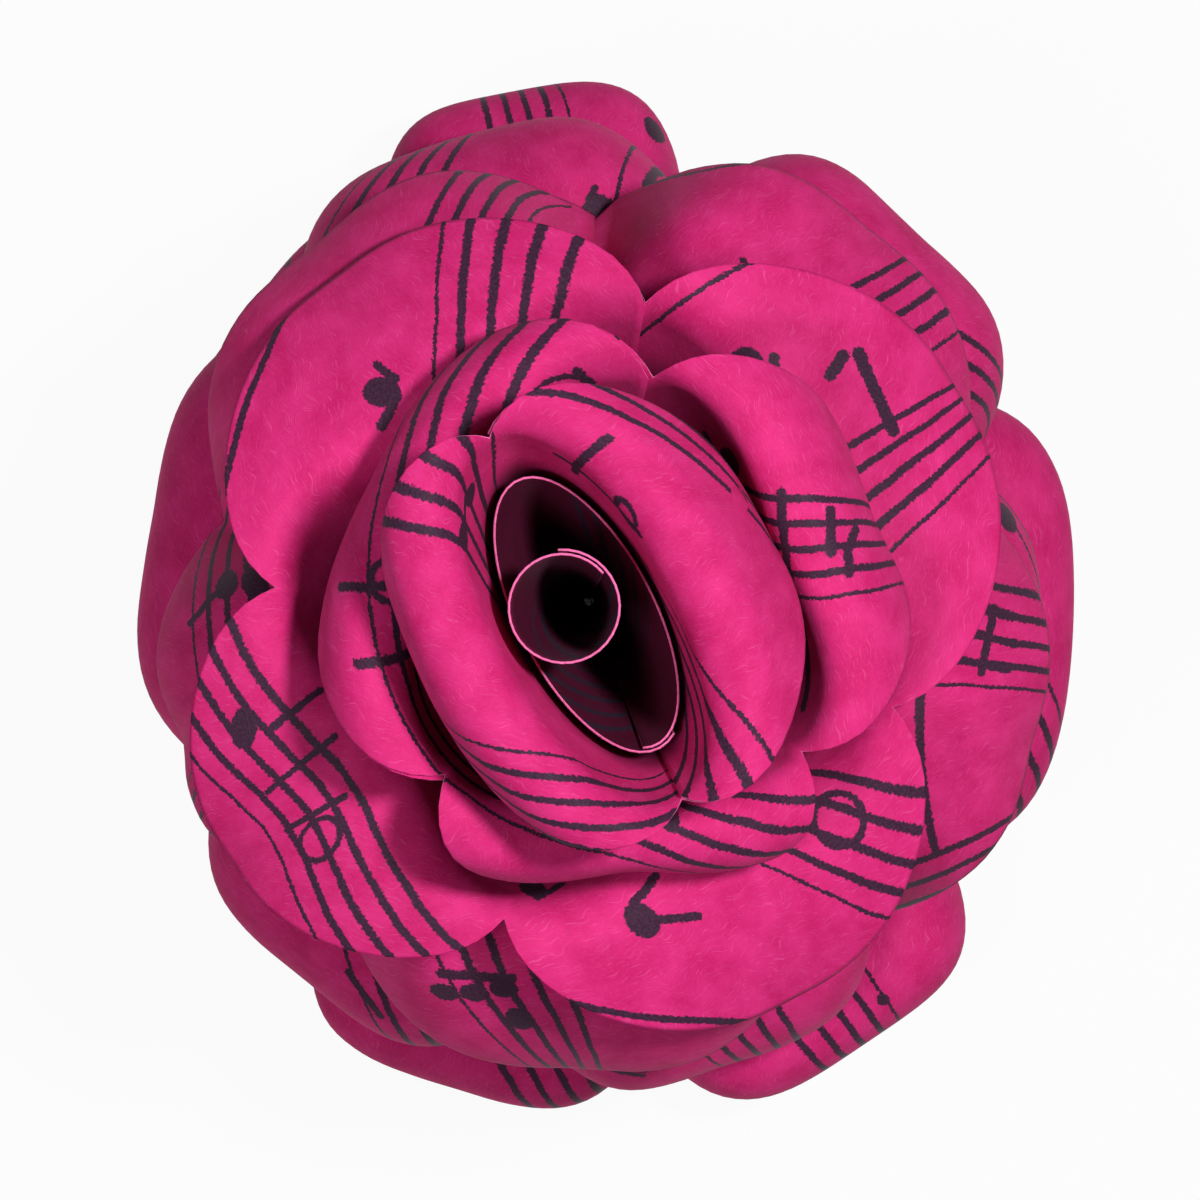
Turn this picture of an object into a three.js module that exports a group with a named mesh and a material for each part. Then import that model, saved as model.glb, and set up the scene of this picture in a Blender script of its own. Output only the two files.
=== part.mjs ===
// Giant paper flower: eight blossoms cut from one template, curled, rolled to cones and nested in each other.
// Millimetres, +Z up. The origin is the middle of the flat glue face that the flower stands on.
// Azimuths are in degrees, anticlockwise from +X as seen from above.

import * as THREE from "three";

// Card, glue and the flat blossom that every layer is cut from.
const CARD = 0.45;
const GAP = 0.3;
const PETALS_IN_BLOSSOM = 8;
const PETAL_RADIUS = 44.6;
const PETAL_ANGLE = (2 * Math.PI) / PETALS_IN_BLOSSOM;
const CHORD_DISTANCE = PETAL_RADIUS / Math.tan(PETAL_ANGLE / 2);
const CUT_DISTANCE = PETAL_RADIUS / Math.sin(PETAL_ANGLE / 2);

// How much a petal stays flat across when it is bent over, and how sharply that fades towards its cuts.
const FLATNESS = 0.7;
const SHOULDER_POWER = 4;

// Steps of the mesh. The curl's rows start at least SHORTEST_CURL below the petal's edge.
const PETAL_COLUMNS = 10;
const WALL_ROWS = 2;
const CURL_ROWS = 6;
const SHORTEST_CURL = 8;
const ARC_SAMPLES = 24;
const SIDEWAYS_STEP = 0.01;
const FIT_ROUNDS = 40;
const NARROWEST_OPENING = 0.01;
const WIDEST_OPENING = 10;
const DAB_SIDES = 24;

const GLUE_COLOR = 0xe9e2cf;
const GLUE_ROUGHNESS = 0.35;
const CARD_ROUGHNESS = 0.85;

// Each layer, outermost first. edges are the azimuths of the cuts between its petals, and the last petal
// lies under the first. tip is the height at which its walls would meet, and seat the height of its cut
// lower end. corner draws the wall out at the cuts, keep squeezes the cone across the azimuth called along,
// and lean moves its middle for each unit of height. bend and relaxed are the radii of the curl at the
// petal's root and after it. droop is how far below the horizontal each petal points after its bend, and
// dip and cutDip are how far below the petal's root and below its cuts the bend starts. A layer with a
// topRadius is cut off level there in the flat and has no petals left.
const LAYERS = [
  {
    name: "seven_petal_cone",
    edges: [21, 80, 127, 168, 219, 275, 330, 386, 436],
    tip: -6.7,
    seat: 0,
    corner: 0,
    along: 90,
    keep: 0.743,
    lean: [0.14, -0.06],
    bend: 12,
    relaxed: 16,
    cutDip: 37,
    droop: [32, 29, 24, 46, 31, 27, 17, 25],
    dip: [27, 10, 22, 44, 11, 8, 15, 25],
    color: 0xa81f60,
  },
  {
    name: "six_petal_cone",
    edges: [76, 135, 200, 260, 320, 381, 436, 495],
    tip: 16.8,
    seat: 20.8,
    corner: 0.03,
    along: 90,
    keep: 0.852,
    lean: [-0.025, -0.1],
    bend: 14,
    relaxed: 24.5,
    cutDip: 42,
    droop: [34, 36, 44, 46, 41, 39, 36],
    dip: [14, 20.5, 16, 14, 18, 7, 15],
    color: 0xbe2a6e,
  },
  {
    name: "five_petal_cone",
    edges: [89, 166, 226, 310, 378, 449, 526],
    tip: 42.7,
    seat: 47.7,
    corner: 0.09,
    bend: 12,
    relaxed: 50,
    cutDip: 43,
    droop: [42, 40, 44, 30, 36, 43],
    dip: [10, 15, 8, 6, 0, 3],
    lean: [0, -0.047],
    keep: 0.871,
    along: 90,
    color: 0xd6347c,
  },
  {
    name: "four_petal_cone",
    edges: [80, 174, 254, 344, 440, 534],
    tip: 48.7,
    seat: 54.2,
    corner: 0.12,
    lean: [0, -0.04],
    bend: 10,
    relaxed: 60,
    cutDip: 5,
    droop: [22, 14, 14, 16, 22],
    dip: [4, 4, 4, 4, 4],
    color: 0xe03a86,
  },
  {
    name: "three_petal_cone",
    edges: [79, 223, 326, 438, 584],
    tip: 60.8,
    seat: 66.2,
    corner: 0.12,
    lean: [0.037, -0.027],
    bend: 8,
    relaxed: 19,
    cutDip: 2.8,
    droop: [50, 72, 32, 48],
    dip: [-2, -1, -6, -1],
    along: -62,
    keep: 0.936,
    color: 0xe63e8b,
  },
  {
    name: "two_petal_cone",
    edges: [-62, 118, 298, 478],
    tip: 76.3,
    seat: 81.9,
    along: -62,
    keep: 0.43,
    lean: [-0.006, -0.033],
    bend: 8,
    relaxed: 38,
    cutDip: 1,
    droop: [52, 75, 50],
    dip: [-2, -5, -2],
    color: 0xec4390,
  },
  {
    name: "inner_cone",
    edges: [-75, 120, 315],
    tip: 85.3,
    seat: 91.9,
    along: -62,
    keep: 0.42,
    lean: [-0.004, -0.033],
    topRadius: 90,
    color: 0xc92f76,
  },
  {
    name: "centre_roll",
    edges: [40, 455],
    tip: 94.3,
    seat: 100.9,
    lean: [-0.055, -0.015],
    topRadius: 93,
    color: 0xd8367e,
  },
];

function radians(degrees) {
  return (degrees * Math.PI) / 180;
}

// A blossom rolled to a cone. wall(petal, share) is the straight wall line at a share of its flat angle.
class Cone {
  constructor(layer) {
    Object.assign(this, { along: 0, keep: 1, lean: [0, 0], corner: 0, topRadius: 0 }, layer);
    this.petals = layer.edges.length - 1;
    this.turns = (layer.edges[this.petals] - layer.edges[0]) / 360;
    this.opening = this.fitOpening();
    this.tables = layer.edges.slice(1).map((edge, petal) => this.arcTable(petal));
  }

  // Unit direction of the wall line at a share of the petal's azimuth.
  ray(petal, part, opening = this.opening) {
    const azimuth = radians(THREE.MathUtils.lerp(this.edges[petal], this.edges[petal + 1], part));
    const axis = radians(this.along);
    const reach = opening * (1 + this.corner * Math.cos(2 * Math.PI * part));
    const lengthwise = reach * Math.cos(azimuth - axis);
    const across = this.keep * reach * Math.sin(azimuth - axis);
    return new THREE.Vector3(
      lengthwise * Math.cos(axis) - across * Math.sin(axis) + this.lean[0],
      lengthwise * Math.sin(axis) + across * Math.cos(axis) + this.lean[1],
      1,
    ).normalize();
  }

  // Flat angle used up from the petal's first cut, for each sample of its azimuth.
  arcTable(petal, opening = this.opening) {
    const table = [0];
    for (let i = 1; i <= ARC_SAMPLES; i++) {
      const before = this.ray(petal, (i - 1) / ARC_SAMPLES, opening);
      table.push(table[i - 1] + before.angleTo(this.ray(petal, i / ARC_SAMPLES, opening)));
    }
    return table;
  }

  // How wide the cone opens when the whole sheet is used up on the way round.
  fitOpening() {
    let narrow = NARROWEST_OPENING;
    let wide = WIDEST_OPENING;
    for (let i = 0; i < FIT_ROUNDS; i++) {
      const middle = (narrow + wide) / 2;
      let used = 0;
      for (let petal = 0; petal < this.petals; petal++) {
        used += this.arcTable(petal, middle)[ARC_SAMPLES];
      }
      if (used < this.petals * PETAL_ANGLE) {
        narrow = middle;
      } else {
        wide = middle;
      }
    }
    return narrow;
  }

  wall(petal, share) {
    const table = this.tables[petal];
    const target = THREE.MathUtils.clamp(share, 0, 1) * table[ARC_SAMPLES];
    let i = 1;
    while (i < ARC_SAMPLES && table[i] < target) {
      i++;
    }
    const part = (i - 1 + (target - table[i - 1]) / (table[i] - table[i - 1])) / ARC_SAMPLES;
    return this.ray(petal, part);
  }

  // Wall line, sideways direction and outward normal at a flat angle from the petal's middle.
  frame(petal, angle) {
    const share = 0.5 + angle / PETAL_ANGLE;
    const line = this.wall(petal, share);
    const sideways = this.wall(petal, Math.min(share + SIDEWAYS_STEP, 1));
    sideways.sub(this.wall(petal, Math.max(share - SIDEWAYS_STEP, 0)));
    sideways.addScaledVector(line, -sideways.dot(line)).normalize();
    return { line, sideways, normal: sideways.clone().cross(line) };
  }

  // Flat radius of the wall line at a height, on a face at a distance outwards from the card's middle.
  radiusAt(height, offset, line, normal) {
    return (height - this.tip - offset * normal.z) / line.z;
  }

  // From 0 in the petal's middle to 1 at its cuts.
  shoulder(angle) {
    return ((2 * Math.abs(angle)) / PETAL_ANGLE) ** SHOULDER_POWER;
  }

  // Flat radius at which the roll starts.
  rollStart(petal, angle) {
    if (this.topRadius) {
      return this.topRadius;
    }
    const middle = (CHORD_DISTANCE - this.dip[petal]) / Math.cos(angle);
    return THREE.MathUtils.lerp(middle, CUT_DISTANCE - this.cutDip, this.shoulder(angle));
  }

  // The card's middle surface and its normal at a flat radius and angle.
  place(petal, radius, angle) {
    const own = this.frame(petal, angle);
    const start = this.rollStart(petal, angle);
    if (radius <= start) {
      return { point: own.line.multiplyScalar(radius), normal: own.normal };
    }
    const flat = FLATNESS * (1 - this.shoulder(angle));
    const middle = this.frame(petal, 0);
    const flatLine = middle.line.multiplyScalar(Math.cos(angle));
    flatLine.addScaledVector(middle.sideways, Math.sin(angle));
    const forward = own.line.clone().lerp(flatLine, flat).normalize();
    const normal = own.normal.lerp(middle.normal, flat);
    normal.addScaledVector(forward, -normal.dot(forward)).normalize();
    const slope = Math.asin(own.line.z);
    const bendEnd = slope + radians(this.droop[petal]);
    const bendLength = Math.min(radius - start, this.bend * bendEnd);
    const turn = bendLength / this.bend;
    const point = own.line.multiplyScalar(start);
    point.addScaledVector(forward, this.bend * Math.sin(turn));
    point.addScaledVector(normal, this.bend * (1 - Math.cos(turn)));
    const rest = (radius - start - bendLength) / this.relaxed;
    point.addScaledVector(forward, this.relaxed * (Math.sin(turn + rest) - Math.sin(turn)));
    point.addScaledVector(normal, this.relaxed * (Math.cos(turn) - Math.cos(turn + rest)));
    normal.multiplyScalar(Math.cos(turn + rest)).addScaledVector(forward, -Math.sin(turn + rest));
    return { point, normal };
  }
}

// Flat radius and angle of the petal's outline, from its first cut to its second.
function outline(cone, share) {
  if (cone.topRadius) {
    return { radius: cone.topRadius, angle: (share - 0.5) * PETAL_ANGLE };
  }
  const turn = Math.PI * (share - 0.5);
  const along = CHORD_DISTANCE + PETAL_RADIUS * Math.cos(turn);
  const across = PETAL_RADIUS * Math.sin(turn);
  return { radius: Math.hypot(along, across), angle: Math.atan2(across, along) };
}

// One face of the card as rows of points, at a distance outwards from the middle surface.
function cardFace(cone, side) {
  const columns = [];
  for (let i = 0; i <= cone.petals * PETAL_COLUMNS; i++) {
    const petal = Math.min(Math.floor(i / PETAL_COLUMNS), cone.petals - 1);
    const share = i / PETAL_COLUMNS - petal;
    const edge = outline(cone, share);
    const winding = (i / PETAL_COLUMNS / cone.petals) * cone.turns;
    const offset = side * CARD / 2 + winding * (CARD + GAP);
    const { line, normal } = cone.frame(petal, edge.angle);
    const low = cone.radiusAt(cone.seat, offset, line, normal);
    const curlStart = Math.min(cone.rollStart(petal, edge.angle), edge.radius - SHORTEST_CURL);
    const column = [];
    for (let j = 0; j <= WALL_ROWS + CURL_ROWS; j++) {
      const radius =
        j <= WALL_ROWS
          ? THREE.MathUtils.lerp(low, curlStart, j / WALL_ROWS)
          : THREE.MathUtils.lerp(curlStart, edge.radius, (j - WALL_ROWS) / CURL_ROWS);
      const { point, normal: out } = cone.place(petal, radius, edge.angle);
      column.push(point.addScaledVector(out, offset).add(new THREE.Vector3(0, 0, cone.tip)));
    }
    columns.push(column);
  }
  return columns;
}

function meshGeometry(positions, index) {
  const geometry = new THREE.BufferGeometry();
  geometry.setAttribute("position", new THREE.Float32BufferAttribute(positions, 3));
  geometry.setIndex(index);
  geometry.computeVertexNormals();
  return geometry;
}

// Closed geometry between two faces that have the same rows and columns.
function closedSheet(inner, outer) {
  const columns = inner.length;
  const rows = inner[0].length;
  const positions = [];
  for (const face of [inner, outer]) {
    for (const point of face.flat()) {
      positions.push(point.x, point.y, point.z);
    }
  }
  const index = [];
  const at = (face, i, j) => face * columns * rows + i * rows + j;
  const quad = (a, b, c, d) => index.push(a, b, c, a, c, d);
  for (let i = 0; i < columns - 1; i++) {
    for (let j = 0; j < rows - 1; j++) {
      quad(at(0, i, j), at(0, i, j + 1), at(0, i + 1, j + 1), at(0, i + 1, j));
      quad(at(1, i, j), at(1, i + 1, j), at(1, i + 1, j + 1), at(1, i, j + 1));
    }
    quad(at(0, i, 0), at(0, i + 1, 0), at(1, i + 1, 0), at(1, i, 0));
    quad(at(0, i, rows - 1), at(1, i, rows - 1), at(1, i + 1, rows - 1), at(0, i + 1, rows - 1));
  }
  for (let j = 0; j < rows - 1; j++) {
    quad(at(0, 0, j), at(1, 0, j), at(1, 0, j + 1), at(0, 0, j + 1));
    quad(at(0, columns - 1, j), at(0, columns - 1, j + 1), at(1, columns - 1, j + 1), at(1, columns - 1, j));
  }
  return meshGeometry(positions, index);
}

// Points around a cone at a height, set in from the middle of its card and drawn towards their own middle.
function ringIn(cone, height, inset, share) {
  const ring = [];
  for (let i = 0; i < DAB_SIDES; i++) {
    const place = ((i / DAB_SIDES) * cone.petals) / cone.turns;
    const petal = Math.floor(place);
    const { line, normal } = cone.frame(petal, (place - petal - 0.5) * PETAL_ANGLE);
    const point = line.clone().multiplyScalar(cone.radiusAt(height, -inset, line, normal));
    ring.push(point.addScaledVector(normal, -inset).add(new THREE.Vector3(0, 0, cone.tip)));
  }
  const middle = ring.reduce((sum, point) => sum.add(point), new THREE.Vector3()).divideScalar(DAB_SIDES);
  return [...ring.map((point) => point.lerp(middle, 1 - share)), middle];
}

// Hot glue in the tip of a cone, from its cut end up to the next cone's, where it is as narrow as that cone.
function glueDab(cone, inner) {
  const top = inner.seat - GAP;
  const clear = CARD / 2 + GAP;
  const share = (inner.opening * (inner.seat - inner.tip)) / (cone.opening * (top - cone.tip));
  const positions = [];
  for (const ring of [ringIn(cone, cone.seat, clear, 1), ringIn(cone, top, clear, Math.min(share, 1))]) {
    for (const point of ring) {
      positions.push(point.x, point.y, point.z);
    }
  }
  const index = [];
  const upper = DAB_SIDES + 1;
  for (let i = 0; i < DAB_SIDES; i++) {
    const next = (i + 1) % DAB_SIDES;
    index.push(i, next, upper + next, i, upper + next, upper + i);
    index.push(DAB_SIDES, next, i, upper + DAB_SIDES, upper + i, upper + next);
  }
  return meshGeometry(positions, index);
}

const flower = new THREE.Group();
const cones = LAYERS.map((layer) => new Cone(layer));
for (const cone of cones) {
  const card = new THREE.MeshStandardMaterial({ color: cone.color, roughness: CARD_ROUGHNESS, metalness: 0 });
  const sheet = new THREE.Mesh(closedSheet(cardFace(cone, -1), cardFace(cone, 1)), card);
  sheet.name = cone.name;
  flower.add(sheet);
}

const glue = new THREE.MeshStandardMaterial({ color: GLUE_COLOR, roughness: GLUE_ROUGHNESS, metalness: 0 });
for (let i = 0; i < cones.length - 1; i++) {
  const dab = new THREE.Mesh(glueDab(cones[i], cones[i + 1]), glue);
  dab.name = "glue_in_" + cones[i].name;
  flower.add(dab);
}

export default flower;
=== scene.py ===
import math

import bmesh
import bpy
import numpy as np
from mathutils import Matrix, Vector


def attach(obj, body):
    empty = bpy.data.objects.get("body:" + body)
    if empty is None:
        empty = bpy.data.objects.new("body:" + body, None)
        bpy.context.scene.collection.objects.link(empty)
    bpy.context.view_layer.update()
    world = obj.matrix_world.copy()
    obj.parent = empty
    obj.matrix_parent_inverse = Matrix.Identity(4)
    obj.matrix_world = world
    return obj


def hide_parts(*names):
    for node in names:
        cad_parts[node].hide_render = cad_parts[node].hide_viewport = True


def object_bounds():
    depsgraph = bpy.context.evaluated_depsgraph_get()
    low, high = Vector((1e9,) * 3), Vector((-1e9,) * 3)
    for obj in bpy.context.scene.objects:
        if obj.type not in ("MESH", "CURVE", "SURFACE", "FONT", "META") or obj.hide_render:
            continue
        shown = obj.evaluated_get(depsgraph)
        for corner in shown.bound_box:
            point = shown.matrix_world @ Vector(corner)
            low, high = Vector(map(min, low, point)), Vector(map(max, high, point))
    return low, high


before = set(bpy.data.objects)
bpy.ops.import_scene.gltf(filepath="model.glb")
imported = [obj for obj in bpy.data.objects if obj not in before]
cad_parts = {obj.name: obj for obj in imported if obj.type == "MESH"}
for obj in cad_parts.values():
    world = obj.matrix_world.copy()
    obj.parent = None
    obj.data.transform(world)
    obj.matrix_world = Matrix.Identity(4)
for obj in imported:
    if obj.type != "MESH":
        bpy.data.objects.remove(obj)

cad_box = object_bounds()
scene = bpy.context.scene
scene.view_settings.view_transform = "Standard"

# The eight rolled blossoms. Each is one flat blossom of eight half-round petals, cut by hand from dyed
# handmade card that is printed with music. Some petals are cut away, the rest are curled over a rod, and
# the strip is rolled to a cone with its last petal glued under the first. Lengths are in millimetres.
MM = 0.001
CARD = 0.45
GAP = 0.3
PETAL_RADIUS = 44.6
PETAL_ANGLE = math.radians(45)
CHORD_DISTANCE = PETAL_RADIUS / math.tan(PETAL_ANGLE / 2)
CUT_DISTANCE = PETAL_RADIUS / math.sin(PETAL_ANGLE / 2)
FLATNESS = 0.7
SHOULDER_POWER = 4
SHORTEST_CURL = 8

# Edges are the azimuths of the petals' sides in degrees, and a page is a turn and a shift of the staves. A
# mark is a shape, its petal, its place across and out from the petal's chord, its heading and its size.
BLOSSOMS = {
    "seven_petal_cone": dict(
        edges=(21, 80, 127, 168, 219, 275, 330, 386, 436), tip=-6.7, seat=0, along=90, keep=0.743,
        lean=(0.14, -0.06), bend=12, relaxed=16, cut_dip=37, droop=(32, 29, 24, 46, 31, 27, 17, 25),
        dip=(27, 10, 22, 44, 11, 8, 15, 25), pages=((45, 12),),
        marks=(
            ("blob", 1, -34, -4, 20, 7.5, 5.6), ("blob", 2, 22, 12, 20, 7.5, 5.6),
            ("stroke", 2, 25, 15, 60, 8, 1.7), ("blob", 5, 11, 6, 0, 3.5, 3),
        )),
    "six_petal_cone": dict(
        edges=(76, 135, 200, 260, 320, 381, 436, 495), tip=16.8, seat=20.8, corner=0.03, along=90,
        keep=0.852, lean=(-0.025, -0.1), bend=14, relaxed=24.5, cut_dip=42,
        droop=(34, 36, 44, 46, 41, 39, 36), dip=(14, 20.5, 16, 14, 18, 7, 15), pages=((147, 90),),
        marks=(
            ("blob", 0, -26, -9, 40, 8, 5), ("stroke", 0, -23, -7, -50, 9, 1.7),
            ("blob", 3, -20, 6, 20, 7.5, 5.6), ("stroke", 3, -24, 8, 50, 9, 1.7),
            ("blob", 4, 36, 2, 20, 7.5, 5.6), ("stroke", 2, 12, 6, 70, 16, 2),
        )),
    "five_petal_cone": dict(
        edges=(89, 166, 226, 310, 378, 449, 526), tip=42.7, seat=47.7, corner=0.09, bend=12, relaxed=50,
        cut_dip=43, droop=(42, 40, 44, 30, 36, 43), dip=(10, 15, 8, 6, 0, 3), lean=(0, -0.047),
        keep=0.871, along=90, pages=((108, 60), (154, -30)), split=112,
        marks=(
            ("blob", 0, -6, 14, 30, 8, 6), ("stroke", 0, -10, 17, 75, 12, 1.7),
            ("blob", 0, -34, 13, 20, 8, 5.5), ("blob", 0, -31, 6, 20, 8, 5.5),
            ("blob", 0, -33, -3, 20, 8.5, 6), ("stroke", 0, -29, 4, 50, 20, 1.7),
            ("blob", 1, -33, -2, 20, 7.5, 5.6), ("blob", 1, -30, -8, 60, 7.5, 5.6),
            ("stroke", 1, -32, 6, 10, 14, 1.7), ("blob", 1, 22, 8, 30, 8, 6),
            ("blob", 2, -27, 10, 80, 6, 4.5), ("blob", 2, -21, 10, 80, 6, 4.5),
            ("blob", 2, -15, 9, 80, 6, 4.5), ("blob", 2, -13, 18, 20, 7.5, 5.6),
            ("stroke", 2, -20, 6, 85, 16, 2.2), ("stroke", 3, -7, 11, 106, 45, 2),
            ("stroke", 3, 29, 16, 13, 12, 1.7), ("stroke", 3, 23, 17, 13, 14, 1.7),
            ("stroke", 3, 17, 18, 13, 15, 1.7), ("stroke", 3, 22, 16, 106, 16, 2.2),
            ("blob", 4, -13, 14, 50, 7, 5), ("stroke", 4, -16, 11, -35, 14, 1.7),
            ("stroke", 4, 10, 8, 60, 16, 1.7),
        )),
    "four_petal_cone": dict(
        edges=(80, 174, 254, 344, 440, 534), tip=48.7, seat=54.2, corner=0.12, lean=(0, -0.04), bend=10,
        relaxed=60, cut_dip=5, droop=(22, 14, 14, 16, 22), dip=(4, 4, 4, 4, 4), pages=((135, 80),),
        marks=(
            ("blob", 0, 6, 13, 60, 8, 6.2), ("stroke", 0, 3, 16, 20, 7, 2),
            ("stroke", 0, 7, 9, -60, 9, 2.2), ("blob", 1, -26, 19, 40, 8.5, 6),
            ("stroke", 1, -21, 9, -4, 15, 1.7), ("stroke", 1, -11, 16, -4, 20, 1.7),
            ("stroke", 1, 2, 20, -4, 16, 2), ("ring", 1, 9, 22, 40, 11, 9),
            ("blob", 2, -37, -8, 20, 7, 5), ("stroke", 2, -34, -6, -60, 8, 1.7),
            ("blob", 2, -21, 9, 10, 8, 6), ("stroke", 2, -16, 12, 60, 13, 2),
            ("stroke", 2, -17, 4, -70, 9, 2), ("blob", 2, 6, 6, 0, 8, 6), ("ring", 2, 25, 10, 30, 11, 9),
            ("blob", 3, 25, 4, 20, 7.5, 6), ("stroke", 3, 20, 7, 55, 11, 2),
            ("stroke", 3, 9, 25, 88, 22, 2.8), ("stroke", 3, 18, 20, 30, 8, 2.4),
        )),
    "three_petal_cone": dict(
        edges=(79, 223, 326, 438, 584), tip=60.8, seat=66.2, corner=0.12, lean=(0.037, -0.027), bend=8,
        relaxed=19, cut_dip=2.8, droop=(50, 72, 32, 48), dip=(-2, -1, -6, -1), along=-62, keep=0.936,
        pages=((115, 118), (70, -28)), split=67,
        marks=(
            ("ring", 0, -31, 4, 70, 9, 6), ("stroke", 0, -35, 3, 0, 9, 2), ("ring", 0, 13, 11, 20, 8, 7),
            ("stroke", 0, 13, 9, 26, 31, 1.7), ("stroke", 0, 25, 7, 26, 18, 1.7),
            ("blob", 2, 20, -1, 20, 8, 6.5), ("stroke", 2, 24, -6, 70, 9, 2.2),
            ("stroke", 2, -12, 5, 70, 50, 2.4), ("stroke", 2, -1, 20, 70, 12, 2.4),
            ("stroke", 2, -5, 24, 40, 8, 2.4), ("stroke", 2, -9, 21, 70, 8, 2.4),
            ("blob", 1, 10, 8, 20, 7, 5),
        )),
    "two_petal_cone": dict(
        edges=(-62, 118, 298, 478), tip=76.3, seat=81.9, along=-62, keep=0.43, lean=(-0.006, -0.033),
        bend=8, relaxed=38, cut_dip=1, droop=(52, 75, 50), dip=(-2, -5, -2), pages=((121, 87), (10, -84)),
        split=22,
        marks=(
            ("blob", 1, -32, -3, 10, 6.5, 5), ("stroke", 1, -29, 1, 80, 8, 2),
            ("blob", 1, -25, 4, 10, 6.5, 5), ("ring", 0, 14, 4, 50, 7, 5),
            ("stroke", 0, 20, 1, -76, 24, 2), ("stroke", 0, 27, 4, 8, 21, 2),
        )),
    "inner_cone": dict(
        edges=(-75, 120, 315), tip=85.3, seat=91.9, along=-62, keep=0.42, lean=(-0.004, -0.033), top=90,
        pages=((20, 30),)),
    "centre_roll": dict(
        edges=(40, 455), tip=94.3, seat=100.9, lean=(-0.055, -0.015), top=93, pages=((20, 30),)),
}

# A roll works on many flat points at once. Its opening is solved so that the petals just fill its turns.
ARC_SAMPLES = 24
SIDEWAYS_STEP = 0.01
NARROWEST_OPENING = 0.01
WIDEST_OPENING = 10
FIT_ROUNDS = 40


def unit(vectors):
    return vectors / np.linalg.norm(vectors, axis=-1, keepdims=True)


class Roll:
    """A blossom rolled to a cone: any point of the flat sheet can be asked for its place in the flower."""

    def __init__(self, edges, tip, seat, along=0, keep=1, lean=(0, 0), corner=0, top=0, bend=1, relaxed=1,
                 cut_dip=0, droop=(), dip=()):
        self.edges = np.array(edges, float)
        self.petals = len(edges) - 1
        self.turns = (edges[-1] - edges[0]) / 360
        self.tip, self.seat, self.along, self.keep, self.lean = tip, seat, math.radians(along), keep, lean
        self.corner, self.top, self.bend, self.relaxed, self.cut_dip = corner, top, bend, relaxed, cut_dip
        self.droop = np.radians(np.array(droop or [0] * self.petals, float))
        self.dip = np.array(dip or [0] * self.petals, float)
        narrow, wide = NARROWEST_OPENING, WIDEST_OPENING
        for _ in range(FIT_ROUNDS):
            self.opening = (narrow + wide) / 2
            self.arcs = self.arc_lengths()
            if self.arcs[:, -1].sum() < self.petals * PETAL_ANGLE:
                narrow = self.opening
            else:
                wide = self.opening

    def ray(self, petal, part):
        azimuth = np.radians(self.edges[petal] * (1 - part) + self.edges[petal + 1] * part) - self.along
        reach = self.opening * (1 + self.corner * np.cos(2 * np.pi * part))
        lengthwise = reach * np.cos(azimuth)
        across = self.keep * reach * np.sin(azimuth)
        x = lengthwise * math.cos(self.along) - across * math.sin(self.along) + self.lean[0]
        y = lengthwise * math.sin(self.along) + across * math.cos(self.along) + self.lean[1]
        return unit(np.stack([x, y, np.ones_like(x)], -1))

    def arc_lengths(self):
        parts = np.linspace(0, 1, ARC_SAMPLES + 1)
        petal, part = np.meshgrid(np.arange(self.petals), parts, indexing="ij")
        rays = self.ray(petal, part)
        steps = np.arccos(np.clip((rays[:, 1:] * rays[:, :-1]).sum(-1), -1, 1))
        return np.concatenate([np.zeros((self.petals, 1)), steps.cumsum(1)], 1)

    def wall(self, petal, share):
        part = np.empty(share.shape)
        for each in range(self.petals):
            here = petal == each
            target = np.clip(share[here], 0, 1) * self.arcs[each, -1]
            part[here] = np.interp(target, self.arcs[each], np.linspace(0, 1, ARC_SAMPLES + 1))
        return self.ray(petal, part)

    def facing(self, petal, angle):
        share = 0.5 + angle / PETAL_ANGLE
        line = self.wall(petal, share)
        ahead = self.wall(petal, np.minimum(share + SIDEWAYS_STEP, 1))
        behind = self.wall(petal, np.maximum(share - SIDEWAYS_STEP, 0))
        sideways = ahead - behind
        sideways = unit(sideways - line * (sideways * line).sum(-1, keepdims=True))
        return line, sideways, np.cross(sideways, line)

    def shoulder(self, angle):
        return (2 * np.abs(angle) / PETAL_ANGLE) ** SHOULDER_POWER

    def roll_start(self, petal, angle):
        if self.top:
            return np.full(angle.shape, float(self.top))
        middle = (CHORD_DISTANCE - self.dip[petal]) / np.cos(angle)
        return middle + (CUT_DISTANCE - self.cut_dip - middle) * self.shoulder(angle)

    def place(self, petal, radius, angle):
        """Where a flat point lies once the sheet is rolled and curled, and the outward normal there."""
        line, _, outward = self.facing(petal, angle)
        start = self.roll_start(petal, angle)
        flat = (FLATNESS * (1 - self.shoulder(angle)))[:, None]
        mid_line, mid_side, mid_outward = self.facing(petal, np.zeros_like(angle))
        flat_line = mid_line * np.cos(angle)[:, None] + mid_side * np.sin(angle)[:, None]
        forward = unit(line + (flat_line - line) * flat)
        curled_out = outward + (mid_outward - outward) * flat
        curled_out = unit(curled_out - forward * (curled_out * forward).sum(-1, keepdims=True))
        over = np.maximum(radius - start, 0)
        bent = np.minimum(over, self.bend * (np.arcsin(line[:, 2]) + self.droop[petal]))
        turn = bent / self.bend
        end = turn + (over - bent) / self.relaxed
        ahead = self.bend * np.sin(turn) + self.relaxed * (np.sin(end) - np.sin(turn))
        out = self.bend * (1 - np.cos(turn)) + self.relaxed * (np.cos(turn) - np.cos(end))
        point = line * np.minimum(radius, start)[:, None]
        point = point + forward * ahead[:, None] + curled_out * out[:, None]
        point[:, 2] += self.tip
        curled_normal = curled_out * np.cos(end)[:, None] - forward * np.sin(end)[:, None]
        normal = np.where((over > 0)[:, None], curled_normal, outward)
        return point, normal

    def radius_at(self, height, offset, line, outward):
        return (height - self.tip - offset * outward[:, 2]) / line[:, 2]


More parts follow.
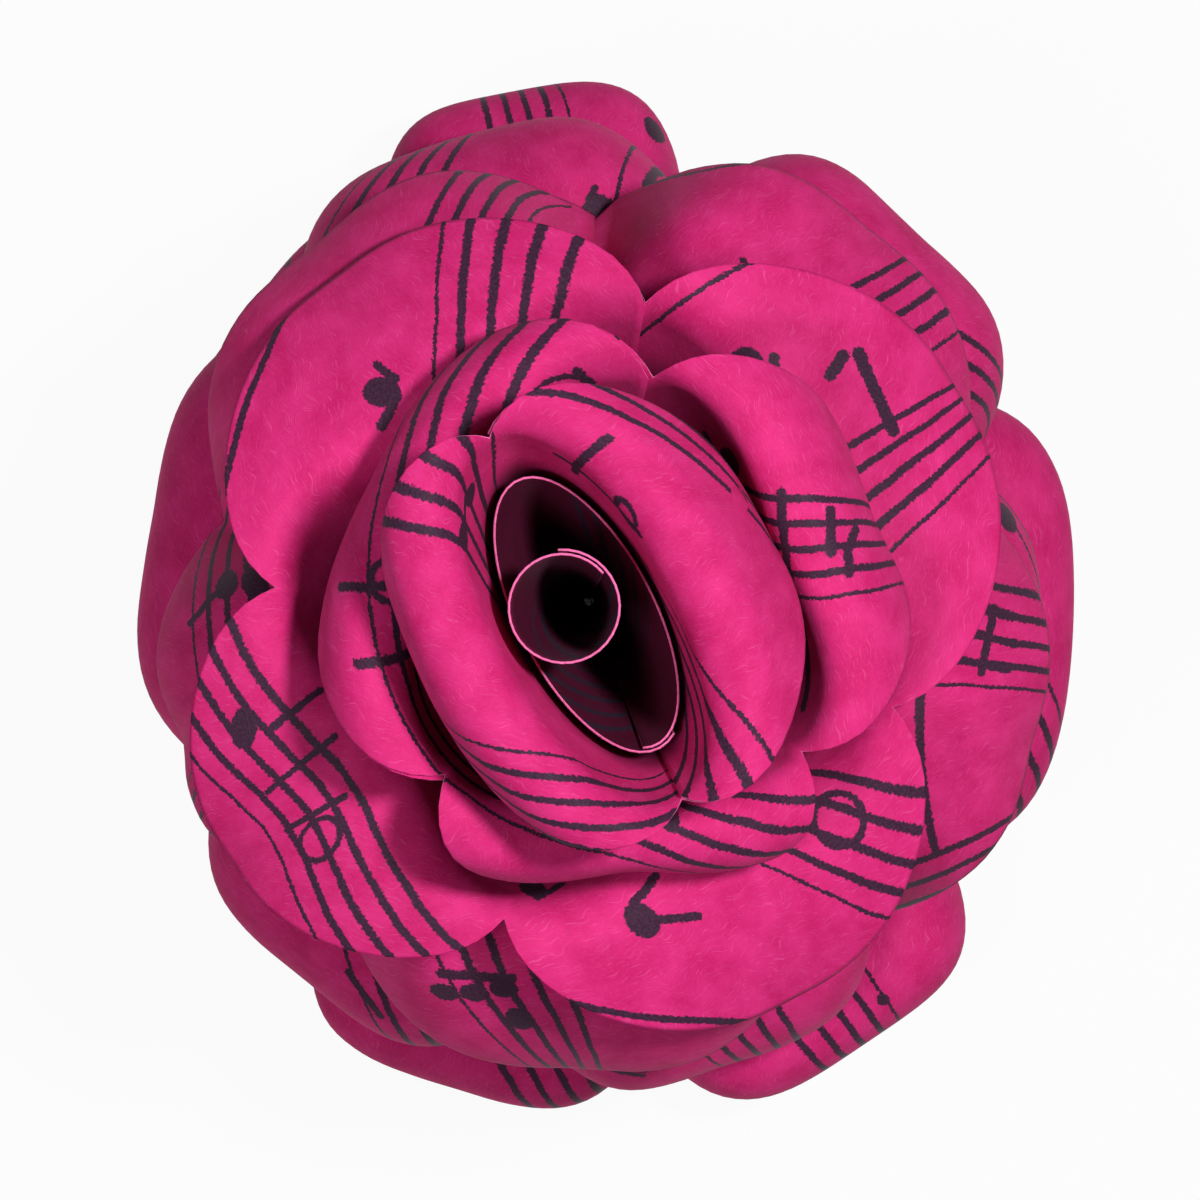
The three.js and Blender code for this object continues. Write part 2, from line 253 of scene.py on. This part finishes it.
def cut_edge(roll, share):
    """Flat radius and angle of the cut edge across a petal."""
    if roll.top:
        return np.full(share.shape, float(roll.top)), (share - 0.5) * PETAL_ANGLE
    turn = math.pi * (share - 0.5)
    along = CHORD_DISTANCE + PETAL_RADIUS * np.cos(turn)
    across = PETAL_RADIUS * np.sin(turn)
    return np.hypot(along, across), np.arctan2(across, along)


# Handmade card is never quite even: it swells slowly and cockles a little, most where a petal is free.
PETAL_COLUMNS = 40
WALL_ROWS = 12
CURL_ROWS = 34
SWELL_LENGTH, SWELL_HEIGHT = 46, 0.55
COCKLE_LENGTH, COCKLE_HEIGHT = 17, 0.12
CROSSED_WAVES = 5
SHORTEST_WAVE, LONGEST_WAVE = 0.7, 1.5
HELD_RADIUS, FREE_RADIUS = 70, 110
HELD_SHARE = 0.3
CARD_FACE, CARD_RIM = 2, 1


def waves(flat, seed, length, height):
    draw = np.random.default_rng(seed)
    total = np.zeros(len(flat))
    for _ in range(CROSSED_WAVES):
        heading, phase = draw.uniform(0, 2 * math.pi, 2)
        size = length * draw.uniform(SHORTEST_WAVE, LONGEST_WAVE)
        along = flat[:, 0] * math.cos(heading) + flat[:, 1] * math.sin(heading)
        total += np.sin(2 * math.pi * along / size + phase)
    return height * total / CROSSED_WAVES


def rolled_blossom(name, roll, seed):
    """The sheet as a fine grid in its rolled place, with the flat sheet kept as its UV map in millimetres."""
    columns = roll.petals * PETAL_COLUMNS
    rows = WALL_ROWS + CURL_ROWS
    bm = bmesh.new()
    bmesh.ops.create_grid(bm, x_segments=columns, y_segments=rows, size=0.5)
    places = np.array([vert.co[:] for vert in bm.verts])
    column = np.rint((places[:, 0] + 0.5) * columns).astype(int)
    row = np.rint((places[:, 1] + 0.5) * rows).astype(int)
    petal = np.minimum(column // PETAL_COLUMNS, roll.petals - 1)
    share = column / PETAL_COLUMNS - petal
    edge, angle = cut_edge(roll, share)
    winding = column / columns * roll.turns * (CARD + GAP)
    line, _, outward = roll.facing(petal, angle)
    low = roll.radius_at(roll.seat, winding, line, outward)
    curl_start = np.minimum(roll.roll_start(petal, angle), edge - SHORTEST_CURL)
    up_wall = low + (curl_start - low) * np.minimum(row / WALL_ROWS, 1)
    up_curl = (edge - curl_start) * np.maximum((row - WALL_ROWS) / CURL_ROWS, 0)
    radius = up_wall + up_curl
    point, normal = roll.place(petal, radius, angle)
    heading = angle + petal * PETAL_ANGLE
    flat = np.stack([radius * np.cos(heading), radius * np.sin(heading)], -1)
    freedom = np.clip((radius - HELD_RADIUS) / (FREE_RADIUS - HELD_RADIUS), 0, 1)
    if roll.top:
        freedom *= HELD_SHARE
    swell = waves(flat, seed, SWELL_LENGTH, SWELL_HEIGHT)
    swell += waves(flat, seed + len(BLOSSOMS), COCKLE_LENGTH, COCKLE_HEIGHT)
    point = point + normal * (winding + swell * freedom)[:, None]
    for vert, co in zip(bm.verts, point * MM):
        vert.co = co
    sheet = bm.loops.layers.uv.new("sheet")
    for face in bm.faces:
        for loop in face.loops:
            loop[sheet].uv = flat[loop.vert.index]
        face.smooth = True
    bm.normal_update()
    middle = bm.faces[:][len(bm.faces) // 2]
    if middle.normal.dot(Vector(normal[middle.verts[0].index])) < 0:
        bmesh.ops.reverse_faces(bm, faces=bm.faces)
    mesh = bpy.data.meshes.new(name)
    bm.to_mesh(mesh)
    bm.free()
    piece = bpy.data.objects.new(name, mesh)
    scene.collection.objects.link(piece)
    card = piece.modifiers.new("card", "SOLIDIFY")
    card.thickness = CARD * MM
    card.offset = 0
    card.material_offset_rim = CARD_RIM
    card.material_offset = CARD_FACE
    return piece


def linear(hex_value):
    """An sRGB hex colour as linear values."""
    parts = [((hex_value >> shift) & 255) / 255 for shift in (16, 8, 0)]
    return tuple(p / 12.92 if p <= 0.04045 else ((p + 0.055) / 1.055) ** 2.4 for p in parts) + (1.0,)


def add(tree, kind, links=None, **settings):
    """A node with its settings, values and links. A value that is a node stands for its first output."""
    made = tree.nodes.new(kind)
    for key, value in settings.items():
        setattr(made, key, value)
    for key, value in (links or {}).items():
        if isinstance(value, bpy.types.Node):
            value = value.outputs[0]
        if isinstance(value, bpy.types.NodeSocket):
            tree.links.new(value, made.inputs[key])
        else:
            made.inputs[key].default_value = value
    return made


def empty_material(name):
    material = bpy.data.materials.new(name)
    material.use_nodes = True
    material.node_tree.nodes.clear()
    return material


# Black printing ink on rough card: a stave has five ruled lines, and every edge frays where the felt let the
# ink run. A scale is how many frays or drifts fall in a millimetre, so a fray is 0.8 mm and a drift 11 mm.
MATH, VECTOR, NOISE = "ShaderNodeMath", "ShaderNodeVectorMath", "ShaderNodeTexNoise"
MIX, RANGE = "ShaderNodeMix", "ShaderNodeMapRange"
STAVE_LINES = 5
LINE_GAP = 5.5
LINE_WIDTH = 1.7
STAVE_PERIOD = 60
RING_WIDTH = 0.8 * LINE_WIDTH
INK_SOFTNESS = 0.16
FRAY_SCALE, FRAY_REACH = 1.3, 1.1
DRIFT_SCALE, DRIFT_REACH = 0.09, 0.9


def flat_place(petal, across, out):
    """Sheet coordinates of a point given from the middle of a petal's chord."""
    heading = petal * PETAL_ANGLE
    along = CHORD_DISTANCE + out
    return (along * math.cos(heading) - across * math.sin(heading),
            along * math.sin(heading) + across * math.cos(heading), 0)


def wandered(tree, sheet, scale, reach, **detail):
    """A shift of the sheet's coordinates that changes slowly from place to place."""
    noise = add(tree, NOISE, {"Vector": sheet, "Scale": scale, **detail}, noise_dimensions="2D")
    centred = add(tree, VECTOR, {0: noise.outputs["Color"], 1: (0.5, 0.5, 0.5)}, operation="SUBTRACT")
    return add(tree, VECTOR, {0: centred, "Scale": reach}, operation="SCALE")


def stave_height(tree, sheet, moved, pages, split):
    """How far up its page a point lies. Past the split, in degrees round the sheet, the next page starts."""
    heights = []
    for turn, shift in pages:
        turned = add(tree, "ShaderNodeMapping",
                     {"Vector": moved, "Rotation": (0, 0, -math.radians(turn)), "Location": (0, shift, 0)})
        heights.append(add(tree, "ShaderNodeSeparateXYZ", {0: turned}).outputs["Y"])
    if len(pages) == 1:
        return heights[0]
    flat = add(tree, "ShaderNodeSeparateXYZ", {0: sheet})
    heading = add(tree, MATH, {0: flat.outputs["Y"], 1: flat.outputs["X"]}, operation="ARCTAN2")
    first_edge = -PETAL_ANGLE / 2
    last_edge = first_edge + 2 * math.pi
    heading = add(tree, MATH, {0: heading, 1: last_edge, 2: first_edge}, operation="WRAP")
    second = add(tree, MATH, {0: heading, 1: math.radians(split)}, operation="GREATER_THAN")
    return add(tree, MIX, {0: second, 2: heights[0], 3: heights[1]})


def from_mark(tree, moved, kind, petal, side, out, heading, length, width):
    """How far outside a note's head, ring or stroke a point lies."""
    local = add(tree, "ShaderNodeMapping",
                {"Vector": moved, "Location": flat_place(petal, side, out),
                 "Rotation": (0, 0, petal * PETAL_ANGLE + math.radians(heading))}, vector_type="TEXTURE")
    if kind == "stroke":
        local = add(tree, VECTOR, {0: local}, operation="ABSOLUTE")
        local = add(tree, VECTOR, {0: local, 1: ((length - width) / 2, 0, 0)}, operation="SUBTRACT")
        local = add(tree, VECTOR, {0: local, 1: (0, 0, 0)}, operation="MAXIMUM")
    else:
        local = add(tree, VECTOR, {0: local, 1: (width / length, 1, 1)}, operation="MULTIPLY")
    gone = add(tree, VECTOR, {0: local}, operation="LENGTH").outputs["Value"]
    gone = add(tree, MATH, {0: gone, 1: width / 2}, operation="SUBTRACT")
    if kind == "ring":
        gone = add(tree, MATH, {0: gone}, operation="ABSOLUTE")
        gone = add(tree, MATH, {0: gone, 1: RING_WIDTH / 2}, operation="SUBTRACT")
    return gone


def ink_print(tree, sheet, pages, split, marks):
    """Staves and notes, with the slightly ragged edge that ink has on rough card, from 0 to 1."""
    fray = wandered(tree, sheet, FRAY_SCALE, FRAY_REACH, Detail=2.0, Roughness=0.6)
    drift = wandered(tree, sheet, DRIFT_SCALE, DRIFT_REACH, Detail=1.0)
    moved = add(tree, VECTOR, {0: sheet, 1: fray}, operation="ADD")
    moved = add(tree, VECTOR, {0: moved, 1: drift}, operation="ADD")
    across = stave_height(tree, sheet, moved, pages, split)
    across = add(tree, MATH, {0: across, 1: STAVE_PERIOD, 2: 0.0}, operation="WRAP")
    line = add(tree, MATH, {0: across, 1: LINE_GAP}, operation="DIVIDE")
    line = add(tree, MATH, {0: line}, operation="ROUND")
    line = add(tree, MATH, {0: line, 1: STAVE_LINES - 1.0}, operation="MINIMUM")
    line = add(tree, MATH, {0: line, 1: LINE_GAP}, operation="MULTIPLY")
    away = add(tree, MATH, {0: across, 1: line}, operation="SUBTRACT")
    away = add(tree, MATH, {0: away}, operation="ABSOLUTE")
    outside = add(tree, MATH, {0: away, 1: LINE_WIDTH / 2}, operation="SUBTRACT")
    for mark in marks:
        outside = add(tree, MATH, {0: outside, 1: from_mark(tree, moved, *mark)}, operation="MINIMUM")
    return add(tree, RANGE, {0: outside, 1: INK_SOFTNESS, 2: -INK_SOFTNESS, 3: 0.0, 4: 1.0},
               interpolation_type="SMOOTHSTEP")


# Dyed handmade mulberry card, felted and left unglazed: long pale fibres, a slow cloudiness of the dye and a
# fine felt grain, almost without gloss. Down in the cones the printed face carries painted shade: its colour
# is darkened to nearly black towards the middle of each sheet. Clouds are 9 mm across, specks 0.6 mm and
# grain 0.4 mm.
CARD_DEEP, CARD_PINK, CARD_PALE, FIBRE = 0xB41C5E, 0xC62A70, 0xDA448A, 0xEC70AC
# Painted shade for deep in the cones: its colour, the sheet radius where it is full and where it ends, and
# its share.
PAINTED_SHADE = 0x1E020C
FULL_SHADE_RADIUS, NO_SHADE_RADIUS = 88, 103
SHADE_SHARE = 0.9
INK, INK_WORN = 0x201826, 0x3A2A3E
INK_SHARE = 0.97
CLOUD_SCALE, CLOUD_FROM, CLOUD_TO = 0.11, 0.3, 0.7
SPECK_SCALE, SPECK_FROM, SPECK_TO, SPECK_SHARE = 1.7, 0.5, 0.95, 0.35
WORN_FROM, WORN_TO = 0.35, 0.8
GRAIN_SCALE, GRAIN_HEIGHT = 2.6, 0.5
FIBRE_BEND_SCALE, FIBRE_BEND = 0.16, 5.0
FIBRE_LENGTHWISE, FIBRE_ACROSS = 0.26, 3.4
FIBRE_HEADINGS = ((24, 0), (-38, 40), (82, 90))
FIBRE_FROM, FIBRE_TO, FIBRE_SHARE, FIBRE_HEIGHT = 0.77, 0.86, 0.16, 0.5
FELT_DEPTH, FELT_STRENGTH = 0.12, 0.35
CARD_ROUGHNESS, INK_ROUGHNESS = 0.62, 0.5
CARD_GLOSS = 0.05
FLUFF, FLUFF_ROUGHNESS, FLUFF_COLOUR = 0.02, 0.45, 0xFFC4E4


def long_fibres(tree, sheet):
    """Bent fibres in three headings, each a noise stretched along the sheet, from 0 to 1."""
    fibres = None
    for turn, shift in FIBRE_HEADINGS:
        bend = add(tree, NOISE, {"Vector": sheet, "Scale": FIBRE_BEND_SCALE, "Detail": 1.0},
                   noise_dimensions="2D")
        bend = add(tree, VECTOR, {0: bend.outputs["Color"], "Scale": FIBRE_BEND}, operation="SCALE")
        bent = add(tree, VECTOR, {0: sheet, 1: bend}, operation="ADD")
        strand = add(tree, "ShaderNodeMapping",
                     {"Vector": bent, "Location": (shift, shift, 0), "Rotation": (0, 0, math.radians(turn)),
                      "Scale": (FIBRE_LENGTHWISE, FIBRE_ACROSS, 1)})
        strand = add(tree, NOISE, {"Vector": strand, "Scale": 1.0, "Detail": 0.0}, noise_dimensions="2D")
        strand = add(tree, RANGE, {0: strand, 1: FIBRE_FROM, 2: FIBRE_TO})
        if fibres is None:
            fibres = strand
        else:
            fibres = add(tree, MATH, {0: fibres, 1: strand}, operation="MAXIMUM")
    return fibres


def tinted(tree, share, colour, tint):
    """A colour with a share of another laid over it."""
    return add(tree, MIX, {0: share, 6: colour, 7: tint}, data_type="RGBA").outputs[2]


def dyed_card(name, printed=None):
    material = empty_material(name)
    tree = material.node_tree
    sheet = add(tree, "ShaderNodeUVMap", uv_map="sheet")
    cloud = add(tree, NOISE, {"Vector": sheet, "Scale": CLOUD_SCALE, "Detail": 4.0, "Roughness": 0.6},
                noise_dimensions="2D")
    speck = add(tree, NOISE, {"Vector": sheet, "Scale": SPECK_SCALE, "Detail": 3.0, "Roughness": 0.7},
                noise_dimensions="2D")
    grain = add(tree, NOISE, {"Vector": sheet, "Scale": GRAIN_SCALE, "Detail": 4.0, "Roughness": 0.65},
                noise_dimensions="2D")
    fibres = long_fibres(tree, sheet)
    clouded = add(tree, RANGE, {0: cloud, 1: CLOUD_FROM, 2: CLOUD_TO})
    specked = add(tree, RANGE, {0: speck, 1: SPECK_FROM, 2: SPECK_TO, 4: SPECK_SHARE})
    faint = add(tree, MATH, {0: fibres, 1: FIBRE_SHARE}, operation="MULTIPLY")
    colour = tinted(tree, clouded, linear(CARD_DEEP), linear(CARD_PINK))
    colour = tinted(tree, specked, colour, linear(CARD_PALE))
    colour = tinted(tree, faint, colour, linear(FIBRE))
    roughness = CARD_ROUGHNESS
    if printed:
        # Painted shade: the printed face darkens to nearly black towards the middle of each sheet, down in
        # the cones.
        from_middle = add(tree, VECTOR, {0: sheet}, operation="LENGTH").outputs["Value"]
        shade_mask = add(tree, RANGE,
                    {0: from_middle, 1: NO_SHADE_RADIUS, 2: FULL_SHADE_RADIUS, 3: 0.0, 4: SHADE_SHARE},
                    interpolation_type="SMOOTHSTEP")
        colour = tinted(tree, shade_mask, colour, linear(PAINTED_SHADE))
        ink = ink_print(tree, sheet.outputs[0], *printed)
        worn = add(tree, RANGE, {0: speck, 1: WORN_FROM, 2: WORN_TO})
        covered = add(tree, MATH, {0: ink, 1: INK_SHARE}, operation="MULTIPLY")
        colour = tinted(tree, covered, colour, tinted(tree, worn, linear(INK), linear(INK_WORN)))
        roughness = add(tree, RANGE, {0: ink, 3: CARD_ROUGHNESS, 4: INK_ROUGHNESS})
    height = add(tree, MATH, {0: grain, 1: GRAIN_HEIGHT}, operation="MULTIPLY")
    height = add(tree, MATH, {0: fibres, 1: FIBRE_HEIGHT, 2: height}, operation="MULTIPLY_ADD")
    bump = add(tree, "ShaderNodeBump",
               {"Height": height, "Strength": FELT_STRENGTH, "Distance": FELT_DEPTH * MM})
    shader = add(tree, "ShaderNodeBsdfPrincipled",
                 {"Base Color": colour, "Roughness": roughness, "Normal": bump,
                  "Specular IOR Level": CARD_GLOSS, "Sheen Weight": FLUFF,
                  "Sheen Roughness": FLUFF_ROUGHNESS, "Sheen Tint": linear(FLUFF_COLOUR)})
    add(tree, "ShaderNodeOutputMaterial", {"Surface": shader})
    return material


# The cut edge of that card. Less dye reached the fibres inside, and scissors leave them standing, so the
# edge is a fine pale line, rougher than the face.
EDGE_DEEP, EDGE_PALE = 0xC83C7E, 0xE878AE
TUFT_SCALE = 1.5
TUFT_DEPTH, TUFT_STRENGTH = 0.1, 0.6
EDGE_ROUGHNESS = 0.85


def cut_card_edge():
    material = empty_material("cut edge of dyed card")
    tree = material.node_tree
    sheet = add(tree, "ShaderNodeUVMap", uv_map="sheet")
    tuft = add(tree, NOISE, {"Vector": sheet, "Scale": TUFT_SCALE, "Detail": 3.0}, noise_dimensions="2D")
    colour = tinted(tree, tuft, linear(EDGE_DEEP), linear(EDGE_PALE))
    bump = add(tree, "ShaderNodeBump",
               {"Height": tuft, "Strength": TUFT_STRENGTH, "Distance": TUFT_DEPTH * MM})
    shader = add(tree, "ShaderNodeBsdfPrincipled",
                 {"Base Color": colour, "Roughness": EDGE_ROUGHNESS, "Normal": bump})
    add(tree, "ShaderNodeOutputMaterial", {"Surface": shader})
    return material


plain_back = dyed_card("plain back of dyed handmade card")
card_edge = cut_card_edge()
FIRST_SEED, SEED_STEP = 3, 7
for number, (name, facts) in enumerate(BLOSSOMS.items()):
    pages = facts.pop("pages")
    split = facts.pop("split", 0)
    marks = facts.pop("marks", ())
    piece = rolled_blossom("printed_" + name, Roll(**facts), FIRST_SEED + SEED_STEP * number)
    front = dyed_card("printed dyed handmade card " + str(number + 1), (pages, split, marks))
    piece.data.materials.append(plain_back)
    piece.data.materials.append(card_edge)
    piece.data.materials.append(front)
    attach(piece, "root")
    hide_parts(name)

# The dabs of hot-melt glue that hold each rolled blossom in the tip of the next. The glue is cloudy and
# cream, and it set against the card, so the dabs keep the shape of the space they filled. Their solids are
# shown as they are, with a wet-looking, slightly see-through finish that is cloudy every 4 mm or so.
GLUE_DULL, GLUE_CREAM = 0xD9CFB4, 0xF2ECD9
GLUE_CLOUDS_PER_METRE = 260.0
GLUE_ROUGHNESS = 0.33
GLUE_RIPPLE, GLUE_RIPPLE_STRENGTH = 0.4, 0.4
GLUE_DEPTH_SHARE = 0.2
GLUE_DEPTH = (0.003, 0.0025, 0.002)
glue = empty_material("hot-melt glue")
tree = glue.node_tree
place = add(tree, "ShaderNodeTexCoord").outputs["Object"]
cloud = add(tree, NOISE, {"Vector": place, "Scale": GLUE_CLOUDS_PER_METRE, "Detail": 3.0})
colour = tinted(tree, cloud, linear(GLUE_DULL), linear(GLUE_CREAM))
bump = add(tree, "ShaderNodeBump",
           {"Height": cloud, "Strength": GLUE_RIPPLE_STRENGTH, "Distance": GLUE_RIPPLE * MM})
shader = add(tree, "ShaderNodeBsdfPrincipled",
             {"Base Color": colour, "Roughness": GLUE_ROUGHNESS, "Normal": bump,
              "Subsurface Weight": GLUE_DEPTH_SHARE, "Subsurface Radius": GLUE_DEPTH})
add(tree, "ShaderNodeOutputMaterial", {"Surface": shader})
for name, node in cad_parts.items():
    if name.startswith("glue_in_"):
        node.data.materials.clear()
        node.data.materials.append(glue)

# A plain white floor that stands in for the paper sweep of a product table, in metres. The camera sees it
# almost white, and it keeps a share of the flower's shadow.
FLOOR_SIZE = 6.0
FLOOR_BELOW = 0.0006
FLOOR_WHITE_SHARE = 0.94
FLOOR_MATT, WHITE = 0xB8B8B8, 0xFFFFFF
floor_bm = bmesh.new()
bmesh.ops.create_grid(floor_bm, x_segments=1, y_segments=1, size=FLOOR_SIZE / 2)
bmesh.ops.translate(floor_bm, verts=floor_bm.verts, vec=(0, 0, cad_box[0][2] - FLOOR_BELOW))
floor_mesh = bpy.data.meshes.new("floor")
floor_bm.to_mesh(floor_mesh)
floor_bm.free()
floor = bpy.data.objects.new("floor", floor_mesh)
scene.collection.objects.link(floor)


def seen_by_eye(tree):
    """1 for the rays that show a surface to the camera, straight, in a gloss or through glass."""
    rays = add(tree, "ShaderNodeLightPath")
    seen = add(tree, MATH, {0: rays.outputs["Is Camera Ray"], 1: rays.outputs["Is Glossy Ray"]},
               operation="MAXIMUM")
    return add(tree, MATH, {0: seen, 1: rays.outputs["Is Transmission Ray"]}, operation="MAXIMUM")


paper_sweep = empty_material("white paper sweep")
tree = paper_sweep.node_tree
share = add(tree, MATH, {0: seen_by_eye(tree), 1: FLOOR_WHITE_SHARE}, operation="MULTIPLY")
matt = add(tree, "ShaderNodeBsdfDiffuse", {"Color": linear(FLOOR_MATT)})
white = add(tree, "ShaderNodeEmission", {"Color": linear(WHITE), "Strength": 1.0})
mixed = add(tree, "ShaderNodeMixShader", {0: share, 1: matt, 2: white})
add(tree, "ShaderNodeOutputMaterial", {"Surface": mixed})
floor.data.materials.append(paper_sweep)

# Plain studio light: a small key lamp from the upper right of the picture, a weaker and softer one from the
# lower left, and a dim room that the camera sees as white. Places are in metres.
ROOM_STRENGTH = 0.03
world = bpy.data.worlds.new("white room")
scene.world = world
world.use_nodes = True
tree = world.node_tree
tree.nodes.clear()
room = add(tree, "ShaderNodeBackground", {"Color": linear(WHITE), "Strength": ROOM_STRENGTH})
backdrop = add(tree, "ShaderNodeBackground", {"Color": linear(WHITE), "Strength": 1.0})
mixed = add(tree, "ShaderNodeMixShader", {0: seen_by_eye(tree), 1: room, 2: backdrop})
add(tree, "ShaderNodeOutputWorld", {"Surface": mixed})

AIM_HEIGHT = 0.07
LAMPS = {
    "key lamp": dict(place=(0.5, 0.2, 1.4), size=0.2, watts=22.0),
    "fill lamp": dict(place=(-0.55, -0.4, 1.4), size=0.4, watts=9.5),
}
for name, facts in LAMPS.items():
    lamp = bpy.data.lights.new(name, "AREA")
    lamp.shape = "DISK"
    lamp.size = facts["size"]
    lamp.energy = facts["watts"]
    holder = bpy.data.objects.new(name, lamp)
    holder.location = facts["place"]
    from_aim = Vector(facts["place"]) - Vector((0, 0, AIM_HEIGHT))
    holder.rotation_euler = from_aim.to_track_quat("Z", "Y").to_euler()
    holder.visible_camera = False
    scene.collection.objects.link(holder)

# The camera looks straight down on the flower from 2 m with a long lens, in metres. The picture is as wide
# as stated at the height of the larger petals.
CAMERA_HEIGHT = 2.0
CAMERA_ASIDE = 0.002
STATED_HEIGHT = 0.05
PICTURE_WIDTH = 0.2457
SENSOR_WIDTH = 36
FARTHEST_SEEN = 20
camera_data = bpy.data.cameras.new("camera")
camera_data.sensor_width = SENSOR_WIDTH
camera_data.lens = SENSOR_WIDTH * (CAMERA_HEIGHT - STATED_HEIGHT) / PICTURE_WIDTH
camera_data.clip_end = FARTHEST_SEEN
camera = bpy.data.objects.new("camera", camera_data)
camera.location = (CAMERA_ASIDE, 0, CAMERA_HEIGHT)
scene.collection.objects.link(camera)
scene.camera = camera
